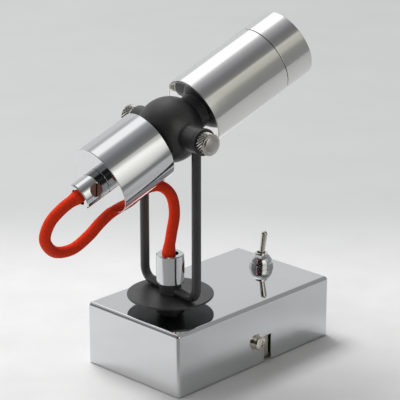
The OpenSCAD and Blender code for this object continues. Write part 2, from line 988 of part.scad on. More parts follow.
// Head: ball and front
module ball() {
    color(black_coat)
        in_head()
            difference() {
                union() {
                    intersection() {
                        sphere(ball_r);
                        cube([2 * flat_x, ball_d, ball_d], center = true);
                    }
                    for (side = [near, far])
                        outwards(side)
                            cylinder(d = stub_d, h = stub_end);
                    rotate([0, 90, 0])
                        cylinder(r = neck_r, h = flange_start);
                }
                rotate([0, 90, 0])
                    cylinder(d = wire_bore_d, h = 2 * flange_end, center = true);
                for (side = [near, far])
                    outwards(side)
                        translate([0, 0, thumb_bore_end])
                            cylinder(r = thumb_r + running_gap, h = ball_d);
            }
}

module front_flange() {
    bore_r = wire_bore_d / 2;
    flange_r = tube_bore_r - fit_gap;
    color(turned_aluminium)
        in_head()
            turned_along_x([
                [bore_r, flange_start], [flange_r, flange_start],
                [flange_r, flange_end], [bore_r, flange_end]
            ]);
}

module front_tube() {
    color(turned_aluminium)
        in_head()
            turned_along_x([
                [tube_bore_r, tube_start], [tube_r - edge_bevel, tube_start],
                [tube_r, tube_start + edge_bevel], [tube_r, tube_end], [spigot_r, tube_end],
                [spigot_r, tube_end + spigot_l], [spigot_bore_r, tube_end + spigot_l],
                [spigot_bore_r, tube_end - spigot_root], [tube_bore_r, tube_end - spigot_root]
            ]);
}

module heat_sink() {
    pitch = (sink_l - sink_fin_t) / (sink_fins - 1);
    color(turned_aluminium)
        in_head()
            difference() {
                union() {
                    turned_along_x([
                        [0, flange_end], [sink_core_r, flange_end],
                        [sink_core_r, board_start], [0, board_start]
                    ]);
                    for (i = [0 : sink_fins - 1])
                        translate([flange_end + i * pitch, 0, 0])
                            rotate([0, 90, 0])
                                cylinder(r = sink_fin_r, h = sink_fin_t);
                }
                translate([flange_end - overcut, 0, 0])
                    rotate([0, 90, 0])
                        cylinder(d = stem_bore_d, h = sink_l + 2 * overcut);
            }
}

module led_board() {
    color("white")
        in_head()
            translate([board_start, 0, 0])
                rotate([0, 90, 0])
                    cylinder(r = board_r, h = board_t);
}

module led_emitter() {
    color("gold")
        in_head()
            translate([board_end, 0, 0])
                rotate([0, 90, 0])
                    cylinder(r = emitter_r, h = emitter_t);
}

module reflector() {
    color(chrome)
        in_head()
            turned_along_x([
                [reflector_throat_r, reflector_start], [reflector_throat_r + reflector_wall, reflector_start],
                [reflector_mouth_r + reflector_wall, reflector_end], [reflector_mouth_r, reflector_end]
            ]);
}

module glass_seal() {
    color(rubber)
        in_head()
            translate([glass_seal_start, 0, 0])
                rotate([0, 90, 0])
                    ring(glass_r, glass_r - glass_seal_w, glass_seal_t);
}

module front_glass() {
    color("lightcyan")
        in_head()
            translate([glass_end - glass_t, 0, 0])
                rotate([0, 90, 0])
                    cylinder(r = glass_r, h = glass_t);
}

module front_bezel() {
    opening_r = bezel_opening_d / 2;
    color(turned_aluminium)
        in_head()
            turned_along_x([
                [bezel_bore_r, bezel_start], [tube_r, bezel_start], [tube_r, bezel_end - edge_bevel],
                [tube_r - edge_bevel, bezel_end], [opening_r, bezel_end],
                [opening_r, bezel_end - bezel_lip], [bezel_bore_r, bezel_end - bezel_lip]
            ]);
}

// Head: rear
module rear_flange() {
    bore_r = wire_bore_d / 2;
    flange_r = cup_bore_r - fit_gap;
    color(black_coat)
        in_head()
            turned_along_x([
                [bore_r, -flat_x], [neck_r, -flat_x], [neck_r, -cup_flange_start],
                [flange_r, -cup_flange_start], [flange_r, -cup_flange_end], [bore_r, -cup_flange_end]
            ]);
}

module rear_cup() {
    hole_r = stem_r + fit_gap;
    color(chrome)
        in_head()
            turned_along_x([
                [cup_bore_r, -cup_start], [cup_r - edge_bevel, -cup_start], [cup_r, -cup_start - edge_bevel],
                [cup_r, -cup_end + edge_bevel], [cup_r - edge_bevel, -cup_end], [hole_r, -cup_end],
                [hole_r, -cup_end + cup_end_t], [cup_bore_r, -cup_end + cup_end_t]
            ]);
}

module driver() {
    color(dark_plastic)
        in_head()
            translate([-cup_flange_end - driver_l, 0, 0])
                rotate([0, 90, 0])
                    cylinder(r = cup_bore_r - fit_gap, h = driver_l);
}

module rear_nipple() {
    color(nickel)
        in_head()
            translate([-cup_end - rear_gland_socket, 0, 0])
                rotate([0, 90, 0])
                    ring(stem_r, stem_bore_d / 2, rear_gland_socket + nipple_in);
}

module rear_nipple_nut() {
    color(nickel)
        in_head()
            translate([-cup_end + cup_end_t, 0, 0])
                rotate([0, 90, 0])
                    hex_nut(stem_nut_af, stem_r + fit_gap, nipple_nut_t);
}

// Thumbscrews and their spacers, along the tilt axis
module spacer(side, d) {
    at_tilt_axis()
        outwards(side)
            translate([0, 0, spacer_start])
                ring(d / 2, thumb_r + running_gap, spacer_t);
}

module spacer_near() {
    color(black_coat)
        spacer(near, spacer_d);
}

module spacer_far() {
    color(nickel)
        spacer(far, far_spacer_d);
}

module thumbscrew(side) {
    head_r = thumb_head_d / 2;
    flat_r = head_r - thumb_edge;
    button_r = thumb_button_d / 2;
    barrel_end = thumb_head_start + thumb_barrel_l;
    button_end = barrel_end + thumb_button_t;
    color(nickel)
        at_tilt_axis()
            outwards(side)
                rotate_extrude()
                    polygon(concat(
                        [
                            [0, thumb_tip], [thumb_r, thumb_tip], [thumb_r, thumb_head_start],
                            [flat_r, thumb_head_start], [head_r, thumb_head_start + thumb_edge],
                            [head_r, barrel_end - thumb_edge], [flat_r, barrel_end],
                            [button_r, barrel_end], [button_r, button_end - thumb_edge]
                        ],
                        [
                            for (share = [1 : -0.25 : 0])
                                [share * (button_r - thumb_edge), button_end + thumb_dome * (1 - share * share)]
                        ]
                    ));
}

module thumbscrew_near() {
    thumbscrew(near);
}

module thumbscrew_far() {
    thumbscrew(far);
}

base_cover();
mounting_bracket();
entry_grommet();
cover_screws();
cover_washers();
terminal_block();
terminal_screws();
earth_screw();
earth_tag();
switch_case();
switch_lugs();
switch_bushing();
switch_lock_washer();
switch_nut();
switch_dome_nut();
switch_lever();
swivel_boss();
swivel_stem();
swivel_disc();
stem_washer();
stem_nut();
yoke_hub();
yoke_rod_near();
yoke_rod_far();
yoke_eye_near();
yoke_eye_far();
base_gland();
base_clamp_screw();
red_cable();
ball();
front_flange();
front_tube();
heat_sink();
led_board();
led_emitter();
reflector();
glass_seal();
front_glass();
front_bezel();
rear_flange();
rear_cup();
driver();
rear_nipple();
rear_nipple_nut();
rear_gland();
rear_clamp_screw();
spacer_near();
spacer_far();
thumbscrew_near();
thumbscrew_far();
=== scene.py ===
"""Looks of the switched spotlight: its finishes, turned pieces, braided cable and studio."""
import json
import math

import bmesh
import bpy
from mathutils import Matrix, Vector


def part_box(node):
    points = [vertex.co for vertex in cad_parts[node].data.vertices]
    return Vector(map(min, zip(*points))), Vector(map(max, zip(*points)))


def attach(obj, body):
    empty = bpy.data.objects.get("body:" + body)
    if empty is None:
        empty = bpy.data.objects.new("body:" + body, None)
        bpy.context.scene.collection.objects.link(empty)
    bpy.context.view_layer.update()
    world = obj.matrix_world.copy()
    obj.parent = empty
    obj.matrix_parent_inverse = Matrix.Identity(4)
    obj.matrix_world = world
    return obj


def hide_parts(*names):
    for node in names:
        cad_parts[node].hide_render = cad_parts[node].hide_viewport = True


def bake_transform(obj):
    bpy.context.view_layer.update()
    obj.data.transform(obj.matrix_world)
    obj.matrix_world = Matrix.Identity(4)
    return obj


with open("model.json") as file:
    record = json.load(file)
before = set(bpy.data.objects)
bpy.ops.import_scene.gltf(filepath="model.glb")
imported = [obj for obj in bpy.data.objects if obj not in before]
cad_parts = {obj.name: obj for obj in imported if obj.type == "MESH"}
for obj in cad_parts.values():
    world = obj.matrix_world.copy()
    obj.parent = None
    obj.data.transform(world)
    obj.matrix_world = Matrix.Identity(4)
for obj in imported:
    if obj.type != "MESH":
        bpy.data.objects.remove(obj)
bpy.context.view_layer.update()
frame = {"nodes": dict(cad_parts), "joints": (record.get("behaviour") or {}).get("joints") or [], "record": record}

MM = 0.001
UP = Vector((0, 0, 1))
ALONG_BASE = Vector((1, 0, 0))
JOINTS = {joint["name"]: joint for joint in frame["joints"]}


# Axis frames of the moving groups
def axis_frame(origin, z_axis, x_hint):
    """A frame at origin whose Z runs along z_axis and whose X leans towards x_hint."""
    z = Vector(z_axis).normalized()
    y = z.cross(x_hint).normalized()
    turn = Matrix((y.cross(z), y, z)).transposed()
    return Matrix.Translation(origin) @ turn.to_4x4()


def floor_point(joint):
    """The point of the base's underside below a joint."""
    x, y, _ = JOINTS[joint]["pos_m"]
    return Vector((x, y, 0))


TILT_POINT = Vector(JOINTS["tilt"]["pos_m"])
TO_NEAR_SIDE = Vector(JOINTS["tilt"]["axis"])
TO_NOSE = Vector(JOINTS["bezel_turn"]["axis"])
HEAD = axis_frame(TILT_POINT, TO_NOSE, UP)
SIDES = {
    "near": axis_frame(TILT_POINT, TO_NEAR_SIDE, UP),
    "far": axis_frame(TILT_POINT, -TO_NEAR_SIDE, UP),
}
SWIVEL = axis_frame(floor_point("pan"), UP, ALONG_BASE)
SWITCH = axis_frame(floor_point("switch_throw"), UP, ALONG_BASE)
FORWARDS = UP.cross(TO_NEAR_SIDE).normalized()
YOKE = Matrix.Translation(TILT_POINT) @ Matrix((FORWARDS, -TO_NEAR_SIDE, UP)).transposed().to_4x4()


def reach(node, place):
    """Where a solid starts and ends along a frame's Z, and its radius round it, in millimetres."""
    back = place.inverted()
    points = [back @ vertex.co for vertex in frame["nodes"][node].data.vertices]
    heights = [point.z for point in points]
    return min(heights) / MM, max(heights) / MM, max(point.xy.length for point in points) / MM


# Camera at the photograph's viewing angle
AIM = Vector((0.01375, 0.02058, 0.07118))
TOWARDS_CAMERA = Vector((-0.6798, -0.6590, 0.3219))
CAMERA_DISTANCE = 0.92086
LENS_MM = 162
SENSOR_MM = 36


def photo_camera():
    data = bpy.data.cameras.new("photo_camera")
    data.lens = LENS_MM
    data.sensor_width = SENSOR_MM
    data.clip_start = 0.01
    camera = bpy.data.objects.new("photo_camera", data)
    camera.location = AIM + TOWARDS_CAMERA.normalized() * CAMERA_DISTANCE
    camera.rotation_euler = (-TOWARDS_CAMERA).to_track_quat("-Z", "Y").to_euler()
    bpy.context.scene.collection.objects.link(camera)
    bpy.context.scene.camera = camera


# Shader building
FLOAT = "NodeSocketFloat"
COLOUR = "NodeSocketColor"
MIX_FACTOR, MIX_A, MIX_B, MIX_RESULT = 0, 6, 7, 2


def feed(tree, socket, value):
    """Sets a socket to a value, or links it to a (node, output) pair."""
    if isinstance(value, tuple) and isinstance(value[0], bpy.types.Node):
        tree.links.new(value[0].outputs[value[1]], socket)
    else:
        socket.default_value = value


def add(tree, kind, sockets=None, **settings):
    node = tree.nodes.new("ShaderNode" + kind)
    for name, value in settings.items():
        setattr(node, name, value)
    for name, value in (sockets or {}).items():
        feed(tree, node.inputs[name], value)
    return node


def blend_colours(tree, factor, first, second, **settings):
    sockets = {MIX_FACTOR: factor, MIX_A: first, MIX_B: second}
    return add(tree, "Mix", sockets, data_type="RGBA", **settings), MIX_RESULT


def rise(tree, value, start, end):
    """0 before start, 1 after end, smooth between; the other way round if end comes first."""
    return add(tree, "MapRange", {
        "Value": value, "From Min": start, "From Max": end,
    }, interpolation_type="SMOOTHSTEP"), "Result"


def ramp(tree, value, low, high, start=0.0, end=1.0):
    """From low at start to high at end, straight between and level beyond."""
    return add(tree, "MapRange", {
        "Value": value, "From Min": start, "From Max": end, "To Min": low, "To Max": high,
    }), "Result"


def calc(tree, operation, *values):
    return add(tree, "Math", dict(enumerate(values)), operation=operation), 0


def product(tree, *factors):
    result = factors[0]
    for factor in factors[1:]:
        result = calc(tree, "MULTIPLY", result, factor)
    return result


def scaled(tree, colour, factor):
    return add(tree, "VectorMath", {0: colour, "Scale": factor}, operation="SCALE"), "Vector"


def new_group(name, inputs, outputs):
    tree = bpy.data.node_groups.new(name, "ShaderNodeTree")
    for label, kind, value in inputs:
        tree.interface.new_socket(label, in_out="INPUT", socket_type=kind).default_value = value
    for label, kind in outputs:
        tree.interface.new_socket(label, in_out="OUTPUT", socket_type=kind)
    return tree, tree.nodes.new("NodeGroupInput"), tree.nodes.new("NodeGroupOutput")


def use_group(tree, group, sockets):
    node = add(tree, "Group", node_tree=group)
    for name, value in sockets.items():
        feed(tree, node.inputs[name], value)
    return node


def handling_marks():
    """Cloudy finger marks: a roughness between a clean and a marked one."""
    tree, given, result = new_group(
        "handling_marks",
        [("Scale", FLOAT, 60.0), ("Clean", FLOAT, 0.05), ("Marked", FLOAT, 0.15)],
        [("Roughness", FLOAT)],
    )
    where = add(tree, "TexCoord")
    cloud = add(tree, "TexNoise", {
        "Vector": (where, "Object"), "Scale": (given, "Scale"), "Detail": 5.0, "Roughness": 0.62,
    })
    level = ramp(tree, (cloud, "Fac"), (given, "Clean"), (given, "Marked"), 0.42, 0.72)
    feed(tree, result.inputs["Roughness"], level)
    return tree


def tone_drift():
    """A colour that drifts a little lighter and darker over the surface."""
    tree, given, result = new_group(
        "tone_drift",
        [("Colour", COLOUR, (0.5, 0.5, 0.5, 1.0)), ("Scale", FLOAT, 40.0), ("Amount", FLOAT, 0.1)],
        [("Colour", COLOUR)],
    )
    where = add(tree, "TexCoord")
    cloud = add(tree, "TexNoise", {
        "Vector": (where, "Object"), "Scale": (given, "Scale"), "Detail": 4.0, "Roughness": 0.55,
    })
    darkest = calc(tree, "SUBTRACT", 1.0, (given, "Amount"))
    lightest = calc(tree, "ADD", 1.0, (given, "Amount"))
    level = ramp(tree, (cloud, "Fac"), darkest, lightest, 0.3, 0.7)
    feed(tree, result.inputs["Colour"], scaled(tree, (given, "Colour"), level))
    return tree


def turning_rings():
    """Fine rings left by the lathe, round the piece's own Z axis."""
    tree, given, result = new_group(
        "turning_rings", [("Rings per metre", FLOAT, 4000.0)], [("Height", FLOAT)]
    )
    where = add(tree, "TexCoord")
    parts = add(tree, "SeparateXYZ", {0: (where, "Object")})
    along = calc(tree, "MULTIPLY", (parts, "Z"), (given, "Rings per metre"))
    rings = add(tree, "TexNoise", {
        "W": along, "Scale": 1.0, "Detail": 3.0, "Roughness": 0.6,
    }, noise_dimensions="1D")
    feed(tree, result.inputs["Height"], (rings, "Fac"))
    return tree


def surface_grain():
    """Small even bumps, as on powder coat, moulded plastic or rubber."""
    tree, given, result = new_group("surface_grain", [("Scale", FLOAT, 2500.0)], [("Height", FLOAT)])
    where = add(tree, "TexCoord")
    grain = add(tree, "TexNoise", {
        "Vector": (where, "Object"), "Scale": (given, "Scale"), "Detail": 2.0, "Roughness": 0.5,
    })
    feed(tree, result.inputs["Height"], (grain, "Fac"))
    return tree


MARKS = handling_marks()
DRIFT = tone_drift()
RINGS = turning_rings()
GRAIN = surface_grain()


def new_finish(name, **constants):
    """A material with its Principled shader; underscores in the names stand for spaces."""
    material = bpy.data.materials.new(name)
    material.use_nodes = True
    shader = material.node_tree.nodes["Principled BSDF"]
    for label, value in constants.items():
        shader.inputs[label.replace("_", " ")].default_value = value
    return material, material.node_tree, shader


def roughen(tree, shader, height, strength, depth_mm):
    bump = add(tree, "Bump", {"Height": height, "Strength": strength, "Distance": depth_mm * MM})
    feed(tree, shader.inputs["Normal"], (bump, "Normal"))


def marked(tree, shader, scale, clean, worn):
    marks = use_group(tree, MARKS, {"Scale": scale, "Clean": clean, "Marked": worn})
    feed(tree, shader.inputs["Roughness"], (marks, "Roughness"))


def toned(tree, shader, colour, scale, amount):
    drift = use_group(tree, DRIFT, {"Colour": (*colour, 1.0), "Scale": scale, "Amount": amount})
    feed(tree, shader.inputs["Base Color"], (drift, "Colour"))


def grained(tree, shader, scale, strength, depth_mm):
    grain = use_group(tree, GRAIN, {"Scale": scale})
    roughen(tree, shader, (grain, "Height"), strength, depth_mm)


def metal(name, colour, tone, marks, grain=None):
    """Bare metal: tone as (scale, amount), marks as (scale, clean, worn), grain as (scale, strength, mm)."""
    material, tree, shader = new_finish(name, Metallic=1.0)
    toned(tree, shader, colour, *tone)
    marked(tree, shader, *marks)
    if grain:
        grained(tree, shader, *grain)
    return material


def mirror_chrome():
    return metal("mirror_chrome", (0.695, 0.705, 0.715), tone=(22.0, 0.015), marks=(55.0, 0.025, 0.10),
                 grain=(45.0, 0.05, 0.4))


def turned_aluminium():
    material, tree, shader = new_finish("turned_aluminium", Metallic=1.0)
    toned(tree, shader, (0.77, 0.77, 0.765), 30.0, 0.02)
    marked(tree, shader, 45.0, 0.10, 0.17)
    rings = use_group(tree, RINGS, {"Rings per metre": 5200.0})
    roughen(tree, shader, (rings, "Height"), 0.10, 0.02)
    return material


def lapped_aluminium():
    """The tube's flat end, polished finer than its turned wall."""
    return metal("lapped_aluminium", (0.77, 0.77, 0.765), tone=(30.0, 0.02), marks=(60.0, 0.03, 0.07))


def black_powder_coat():
    material, tree, shader = new_finish("black_powder_coat", Specular_IOR_Level=0.75)
    toned(tree, shader, (0.028, 0.028, 0.0285), 150.0, 0.2)
    marked(tree, shader, 70.0, 0.36, 0.47)
    grained(tree, shader, 1300.0, 0.45, 0.10)
    return material


def bright_nickel():
    return metal("bright_nickel", (0.76, 0.73, 0.67), tone=(300.0, 0.06), marks=(240.0, 0.12, 0.26),
                 grain=(900.0, 0.08, 0.05))


def polished_nickel():
    """The switch's lever and the rims of the thumbscrews' buttons."""
    return metal("polished_nickel", (0.60, 0.58, 0.53), tone=(300.0, 0.05), marks=(240.0, 0.04, 0.10))


def satin_nickel():
    """The thumbscrews' domed buttons, faced on the lathe."""
    material, tree, shader = new_finish("satin_nickel", Metallic=1.0)
    toned(tree, shader, (0.50, 0.485, 0.46), 260.0, 0.08)
    marked(tree, shader, 300.0, 0.30, 0.42)
    where = add(tree, "TexCoord")
    lathe_marks = add(tree, "TexWave", {
        "Vector": (where, "Object"), "Scale": 900.0, "Distortion": 0.6, "Detail": 2.0,
    }, wave_type="RINGS", rings_direction="Z")
    roughen(tree, shader, (lathe_marks, "Fac"), 0.25, 0.02)
    return material


def shaded_nickel():
    """The grooves of the knurls, darkened by painted shade and by what collects in them."""
    return metal("shaded_nickel", (0.10, 0.095, 0.085), tone=(600.0, 0.2), marks=(500.0, 0.40, 0.60))


def zinc_steel():
    return metal("zinc_steel", (0.42, 0.41, 0.33), tone=(90.0, 0.12), marks=(140.0, 0.28, 0.45),
                 grain=(700.0, 0.15, 0.05))


def bright_brass():
    return metal("bright_brass", (0.62, 0.44, 0.17), tone=(160.0, 0.08), marks=(200.0, 0.16, 0.34))


def mirror_reflector():
    return metal("mirror_reflector", (0.88, 0.88, 0.885), tone=(60.0, 0.02), marks=(90.0, 0.02, 0.07))


def moulded_plastic(name, colour, clean, worn):
    material, tree, shader = new_finish(name)
    toned(tree, shader, colour, 180.0, 0.08)
    marked(tree, shader, 150.0, clean, worn)
    grained(tree, shader, 1800.0, 0.18, 0.04)
    return material


def brown_plastic():
    """Pressed resin with a faint darker swirl."""
    material, tree, shader = new_finish("brown_plastic", Coat_Weight=0.2, Coat_Roughness=0.12)
    where = add(tree, "TexCoord")
    swirl = add(tree, "TexNoise", {
        "Vector": (where, "Object"), "Scale": 520.0, "Detail": 3.0, "Distortion": 1.4,
    })
    pressed = blend_colours(tree, (swirl, "Fac"), (0.055, 0.014, 0.010, 1.0), (0.24, 0.062, 0.042, 1.0))
    feed(tree, shader.inputs["Base Color"], pressed)
    marked(tree, shader, 300.0, 0.24, 0.40)
    return material


def clear_glass():
    material, tree, shader = new_finish(
        "clear_glass", Base_Color=(0.96, 0.98, 0.98, 1.0), Transmission_Weight=1.0, IOR=1.5
    )
    marked(tree, shader, 80.0, 0.0, 0.035)
    return material


def phosphor():
    material, tree, shader = new_finish("phosphor", Coat_Weight=0.6, Coat_Roughness=0.08)
    where = add(tree, "TexCoord")
    specks = add(tree, "TexVoronoi", {"Vector": (where, "Object"), "Scale": 1500.0})
    gel = blend_colours(tree, (specks, "Distance"), (0.86, 0.66, 0.10, 1.0), (0.74, 0.52, 0.07, 1.0))
    feed(tree, shader.inputs["Base Color"], gel)
    marked(tree, shader, 400.0, 0.35, 0.5)
    return material


# Braid of the cable: strands run both ways round, over and under each other
BRAID_UV = "braid"
STRANDS_ROUND = 24
STRAND_STEP_MM = 0.75


def red_braid():
    material, tree, shader = new_finish(
        "red_braid", Sheen_Weight=0.22, Sheen_Roughness=0.4, Sheen_Tint=(1.0, 0.36, 0.22, 1.0),
        Specular_IOR_Level=0.25,
    )
    place = add(tree, "UVMap", uv_map=BRAID_UV)
    parts = add(tree, "SeparateXYZ", {0: (place, "UV")})
    round_turns = calc(tree, "MULTIPLY", (parts, "Y"), float(STRANDS_ROUND))
    along_steps = calc(tree, "MULTIPLY", (parts, "X"), 1 / (STRAND_STEP_MM * MM))
    waves = []
    cells = []
    for way in ("ADD", "SUBTRACT"):
        strand = calc(tree, way, round_turns, along_steps)
        wave = calc(tree, "SINE", calc(tree, "MULTIPLY", strand, math.pi))
        waves.append(calc(tree, "ABSOLUTE", wave))
        cells.append(calc(tree, "FLOOR", strand))
    pillow = calc(tree, "MULTIPLY", *waves)
    cell = add(tree, "CombineXYZ", {"X": cells[0], "Y": cells[1]})
    yarn = add(tree, "TexWhiteNoise", {"Vector": (cell, "Vector")}, noise_dimensions="2D")
    # Painted shade: the red is darker where the strands dip under each other and lighter on their crowns.
    lit = ramp(tree, pillow, 0.0, 1.0, end=0.55)
    braid = blend_colours(tree, lit, (0.55, 0.014, 0.001, 1.0), (1.0, 0.050, 0.005, 1.0))
    shade = ramp(tree, (yarn, "Value"), 0.88, 1.10)
    feed(tree, shader.inputs["Base Color"], scaled(tree, braid, shade))
    marked(tree, shader, 500.0, 0.62, 0.80)
    where = add(tree, "TexCoord")
    fibres = add(tree, "TexNoise", {"Vector": (where, "Object"), "Scale": 6500.0, "Detail": 2.0})
    roughen(tree, shader, (fibres, "Fac"), 0.35, 0.05)
    return material


FINISHES = {
    "chrome": mirror_chrome(),
    "turned_aluminium": turned_aluminium(),
    "black_coat": black_powder_coat(),
    "nickel": bright_nickel(),
    "zinc_steel": zinc_steel(),
    "dark_plastic": moulded_plastic("dark_plastic", (0.020, 0.020, 0.022), 0.38, 0.55),
    "cream_plastic": moulded_plastic("cream_plastic", (0.70, 0.65, 0.54), 0.40, 0.58),
    "brown_plastic": brown_plastic(),
    "brass": bright_brass(),
    "rubber": moulded_plastic("rubber", (0.013, 0.013, 0.013), 0.65, 0.85),
    "red_textile": red_braid(),
    "glass": clear_glass(),
    "mirror": mirror_reflector(),
    "white_board": moulded_plastic("white_board", (0.80, 0.80, 0.78), 0.30, 0.45),
    "emitter": phosphor(),
}
LAPPED_ALUMINIUM = lapped_aluminium()
POLISHED_NICKEL = polished_nickel()
SATIN_NICKEL = satin_nickel()
SHADED_NICKEL = shaded_nickel()
SLOTS = {part["node"]: part["material_slot"] for part in frame["record"]["subparts"]}

for node, slot in SLOTS.items():
    frame["nodes"][node].material_slots[0].material = FINISHES[slot]
frame["nodes"]["switch_lever"].material_slots[0].material = POLISHED_NICKEL


# Cable: the route in the yoke's frame, in millimetres: forwards, to the far side, over the tilt axis
CABLE_ROUTE = [
    (-44.9, 0, -19.5), (-53.6, 0, -23), (-62.5, -0.5, -26.5), (-69.2, 0.5, -32.7),
    (-70.8, 2.5, -41.5), (-64.7, 4, -48.9), (-54.9, 4, -49.8), (-45.6, 4, -45.4),
    (-37.6, 5, -40.4), (-28.9, 7, -37.2), (-20.2, 5.5, -33.5), (-12, 4.5, -28.8),
    (-3, 4, -28.9), (3, 3, -34.6), (3.5, 1, -43.3), (0.5, -0.5, -52.8),
    (-0.8, 0, -62.5), (0, 0, -72.5),
]
CURVE_STEPS = 24
CABLE_D_MM = 5.5
BRAID_RELIEF_MM = 0.10
STEPS_PER_STRAND = 4
CABLE_HELD_BY_YOKE = 16
CABLE_HELD_BY_HEAD = 1
FLARE_MM = 0.6
FLARE_L = 5.0


def step_up(value, soft):
    """0 below nothing, 1 above soft, smooth between."""
    share = min(max(value / soft, 0.0), 1.0)
    return share * share * (3 - 2 * share)


def smooth_line(points, steps):
    """A curve through all the points, with that many steps from each to the next."""
    line = []
    last = len(points) - 1
    for i in range(last):
        a, b, c, d = (points[min(max(i + k, 0), last)] for k in (-1, 0, 1, 2))
        for step in range(steps):
            t = step / steps
            line.append(0.5 * (2 * b + (c - a) * t + (2 * a - 5 * b + 4 * c - d) * t ** 2
                               + (3 * b - a - 3 * c + d) * t ** 3))
    return line + [points[-1]]


def even_line(line, step):
    """The same curve with its points about one step apart, and its length."""
    walked = [0.0]
    for a, b in zip(line, line[1:]):
        walked.append(walked[-1] + (b - a).length)
    count = round(walked[-1] / step)
    even = []
    i = 0
    for k in range(count + 1):
        wanted = walked[-1] * k / count
        while i < len(line) - 2 and walked[i + 1] < wanted:
            i += 1
        share = (wanted - walked[i]) / (walked[i + 1] - walked[i])
        even.append(line[i].lerp(line[i + 1], min(share, 1.0)))
    return even, walked[-1]


def braided_cable():
    line, length = even_line(
        smooth_line([YOKE @ (Vector(point) * MM) for point in CABLE_ROUTE], CURVE_STEPS),
        STRAND_STEP_MM / STEPS_PER_STRAND * MM,
    )
    sides = STRANDS_ROUND * STEPS_PER_STRAND
    last = len(line) - 1
    held = [YOKE @ (Vector(CABLE_ROUTE[i]) * MM) for i in (CABLE_HELD_BY_YOKE, CABLE_HELD_BY_HEAD)]
    spoke = TO_NEAR_SIDE
    rings = []
    for i, centre in enumerate(line):
        heading = (line[min(i + 1, last)] - line[max(i - 1, 0)]).normalized()
        spoke = (spoke - spoke.dot(heading) * heading).normalized()
        across = heading.cross(spoke)
        along = length * i / last / (STRAND_STEP_MM * MM)
        from_mouth = min((centre - mouth).length for mouth in held) / MM
        flare = FLARE_MM * (1 - step_up(from_mouth, FLARE_L))
        ring = []
        for k in range(sides):
            turn = k / sides
            one_way = abs(math.sin(math.pi * (STRANDS_ROUND * turn + along)))
            other_way = abs(math.sin(math.pi * (STRANDS_ROUND * turn - along)))
            swell = BRAID_RELIEF_MM * (math.sqrt(one_way * other_way) - 0.5)
            radius = (CABLE_D_MM / 2 + flare + swell) * MM
            angle = 2 * math.pi * turn
            ring.append(centre + radius * (math.cos(angle) * spoke + math.sin(angle) * across))
        rings.append(ring)
    mesh = bpy.data.meshes.new("braided_red_cable")
    faces = []
    for here in range(0, last * sides, sides):
        there = here + sides
        for k in range(sides):
            near = (k + 1) % sides
            faces.append((here + k, here + near, there + near, there + k))
    ends = [tuple(reversed(range(sides))), tuple(range(last * sides, (last + 1) * sides))]
    mesh.from_pydata([point for ring in rings for point in ring], [], faces + ends)
    layer = mesh.uv_layers.new(name=BRAID_UV)
    for i in range(last):
        for k in range(sides):
            first = 4 * (i * sides + k)
            for corner, (ring, side) in enumerate(((i, k), (i, k + 1), (i + 1, k + 1), (i + 1, k))):
                layer.data[first + corner].uv = (length * ring / last, side / sides)
    mesh.shade_smooth()
    mesh.materials.append(FINISHES["red_textile"])
    cable = bpy.data.objects.new("braided_red_cable", mesh)
    bpy.context.scene.collection.objects.link(cable)
    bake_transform(cable)
    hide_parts("red_cable")


# Turned pieces: outlines of (radius, height, edge radius) in millimetres, round a frame's Z
ARC_STEPS = 5
ROUND_SEGMENTS = 128
SMOOTH_ANGLE = math.radians(35)
ON_AXIS = 1e-6


def rounded(corners):
    """A closed outline with each corner rounded by its own edge radius."""
    outline = []
    count = len(corners)
    for i, (r, z, edge) in enumerate(corners):
        corner = Vector((r, z))
        if edge == 0:
            outline.append((r, z))
            continue
        to_last = (Vector(corners[i - 1][:2]) - corner).normalized()
        to_next = (Vector(corners[(i + 1) % count][:2]) - corner).normalized()
        half = to_last.angle(to_next) / 2
        centre = corner + (to_last + to_next).normalized() * (edge / math.sin(half))
        start = corner + to_last * (edge / math.tan(half)) - centre
        end = corner + to_next * (edge / math.tan(half)) - centre
        sweep = start.angle_signed(end)
        for step in range(ARC_STEPS + 1):
            spoke = Matrix.Rotation(-sweep * step / ARC_STEPS, 2) @ start
            outline.append(tuple(centre + spoke))
    return outline


def quarter_round(r, z, edge, steps):
    """A rounded corner from the side at radius r up to the top at height z."""
    angles = [math.pi / 2 * step / steps for step in range(steps + 1)]
    return [(r - edge * (1 - math.cos(angle)), z - edge * (1 - math.sin(angle))) for angle in angles]


def crown(flat, top, dome, steps):
    """A low dome from the rim of a flat in to its middle, without the rim itself."""
    shares = [1 - step / steps for step in range(1, steps + 1)]
    return [(flat * share, top - dome * share ** 2) for share in shares]


def spin(outline, segments, shape=None):
    """A closed solid from a closed outline; shape may change each point's radius and height."""
    work = bmesh.new()
    rings = []
    for r, z in outline:
        if r < ON_AXIS:
            z = shape(0, z, 0)[1] if shape else z
            rings.append([work.verts.new((0, 0, z * MM))] * segments)
            continue
        ring = []
        for k in range(segments):
            angle = 2 * math.pi * k / segments
            radius, height = shape(r, z, angle) if shape else (r, z)
            point = (radius * math.cos(angle), radius * math.sin(angle), height)
            ring.append(work.verts.new([MM * length for length in point]))
        rings.append(ring)
    for ring, following in zip(rings, rings[1:] + rings[:1]):
        for k in range(segments):
            near = (k + 1) % segments
            corners = []
            for vertex in (ring[k], ring[near], following[near], following[k]):
                if vertex not in corners:
                    corners.append(vertex)
            if len(corners) > 2:
                work.faces.new(corners)
    bmesh.ops.recalc_face_normals(work, faces=work.faces)
    return work


def stand(name, work, place, slot, body, nodes, smooth=True):
    """Makes a finished piece of a worked mesh: in its place, on its body, for its solids."""
    mesh = bpy.data.meshes.new(name)
    work.to_mesh(mesh)
    work.free()
    if smooth:
        mesh.shade_smooth()
        mesh.set_sharp_from_angle(angle=SMOOTH_ANGLE)
    mesh.materials.append(FINISHES[slot])
    piece = bpy.data.objects.new(name, mesh)
    piece.matrix_world = place
    bpy.context.scene.collection.objects.link(piece)
    if smooth:
        weighting = piece.modifiers.new("flat_faces_stay_flat", "WEIGHTED_NORMAL")
        weighting.keep_sharp = True
    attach(piece, body)
    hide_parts(*nodes)
    return piece


